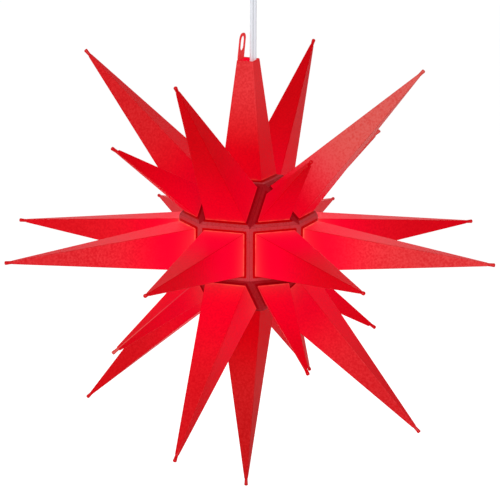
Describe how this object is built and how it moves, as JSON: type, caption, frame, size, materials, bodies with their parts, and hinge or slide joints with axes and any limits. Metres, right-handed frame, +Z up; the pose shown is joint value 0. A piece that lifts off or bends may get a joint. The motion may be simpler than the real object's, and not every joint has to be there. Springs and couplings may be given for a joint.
{
  "type": "moravian star pendant",
  "caption": "Hanging Moravian star: a faceted hollow body with long square and short triangular points, on a flat twin flex from a small ceiling rose.",
  "frame": {"origin": "middle of the upper face of the rose's ceiling plate, where the pendant is held to the ceiling", "axes": "+Z up, along the flex; -Y and +X are the directions that two of the star's long middle points face"},
  "size_m": [0.4, 0.4, 0.48],
  "materials": {
    "star_plastic": "fine-grained translucent red polypropylene, lit from inside",
    "flex_sheath": "white flat twin flex with a smooth, slightly glossy sheath",
    "core_insulation": "thin insulated cores",
    "rose_plastic": "white moulded plastic, satin",
    "terminal_plastic": "off-white moulded plastic",
    "grip_plastic": "white moulded nylon",
    "holder_plastic": "white heat-proof plastic",
    "carrier_ceramic": "unglazed white ceramic",
    "plated_steel": "zinc-plated steel",
    "contact_brass": "brass",
    "lamp_base_metal": "nickel-plated screw shell",
    "lamp_insulator": "black glass insulator",
    "lamp_housing_plastic": "white plastic",
    "lamp_glass": "frosted warm white"
  },
  "bodies": {
    "rose": {"ceiling_plate": "rose_plastic", "anchor_post": "rose_plastic", "anchor_bar": "rose_plastic", "anchor_screws": "plated_steel", "terminal_block": "terminal_plastic", "terminal_screws": "plated_steel", "rose_cores": "core_insulation", "flex_in_rose": "flex_sheath", "flex_upper": "flex_sheath"},
    "cover": {"canopy_cover": "rose_plastic"},
    "thumb_screw": {"thumb_screw": "rose_plastic"},
    "flex_middle": {"flex_middle": "flex_sheath"},
    "flex_lower": {"flex_lower": "flex_sheath"},
    "star": {"bottom_point": "star_plastic", "centre_contact": "contact_brass", "contact_carrier": "carrier_ceramic", "flex_in_star": "flex_sheath", "grip_back": "grip_plastic", "grip_front": "grip_plastic", "grip_screws": "plated_steel", "holder_body": "holder_plastic", "holder_cap": "holder_plastic", "holder_grub_screw": "plated_steel", "joining_clips": "plated_steel", "lamp_cores": "core_insulation", "lower_point_1": "star_plastic", "lower_point_2": "star_plastic", "lower_point_3": "star_plastic", "lower_point_4": "star_plastic", "lower_triangle_point_1": "star_plastic", "lower_triangle_point_2": "star_plastic", "lower_triangle_point_3": "star_plastic", "lower_triangle_point_4": "star_plastic", "middle_point_1": "star_plastic", "middle_point_2": "star_plastic", "middle_point_3": "star_plastic", "middle_point_4": "star_plastic", "middle_point_5": "star_plastic", "middle_point_6": "star_plastic", "middle_point_7": "star_plastic", "middle_point_8": "star_plastic", "top_point": "star_plastic", "upper_point_1": "star_plastic", "upper_point_2": "star_plastic", "upper_point_3": "star_plastic", "upper_point_4": "star_plastic", "upper_triangle_point_1": "star_plastic", "upper_triangle_point_2": "star_plastic", "upper_triangle_point_3": "star_plastic", "upper_triangle_point_4": "star_plastic"},
    "lamp": {"lamp_base": "lamp_base_metal", "lamp_insulator": "lamp_insulator", "lamp_end_contact": "contact_brass", "lamp_housing": "lamp_housing_plastic", "lamp_globe": "lamp_glass"}
  },
  "joints": [
    {"name": "cover_slide", "type": "slide", "parent": "rose", "child": "cover", "axis": [0, 0, -1], "range_m": [0, 0.03]},
    {"name": "thumb_screw_turn", "type": "hinge", "parent": "cover", "child": "thumb_screw", "pos_m": [0.00074, -0.00186, -0.046], "axis": [0.3681, -0.9298, 0], "range_deg": [0, 540]},
    {"name": "swing_side", "type": "hinge", "parent": "rose", "child": "flex_middle", "pos_m": [0, 0, -0.088], "axis": [0, 1, 0], "range_deg": [-15, 15]},
    {"name": "swing_front", "type": "hinge", "parent": "flex_middle", "child": "flex_lower", "pos_m": [0, 0, -0.116], "axis": [1, 0, 0], "range_deg": [-15, 15]},
    {"name": "star_turn", "type": "hinge", "parent": "flex_lower", "child": "star", "pos_m": [0, 0, -0.1536], "axis": [0, 0, 1], "range_deg": [-180, 180]},
    {"name": "lamp_turn", "type": "hinge", "parent": "star", "child": "lamp", "pos_m": [0, 0, -0.253], "axis": [0, 0, -1], "range_deg": [0, 1080]}
  ]
}
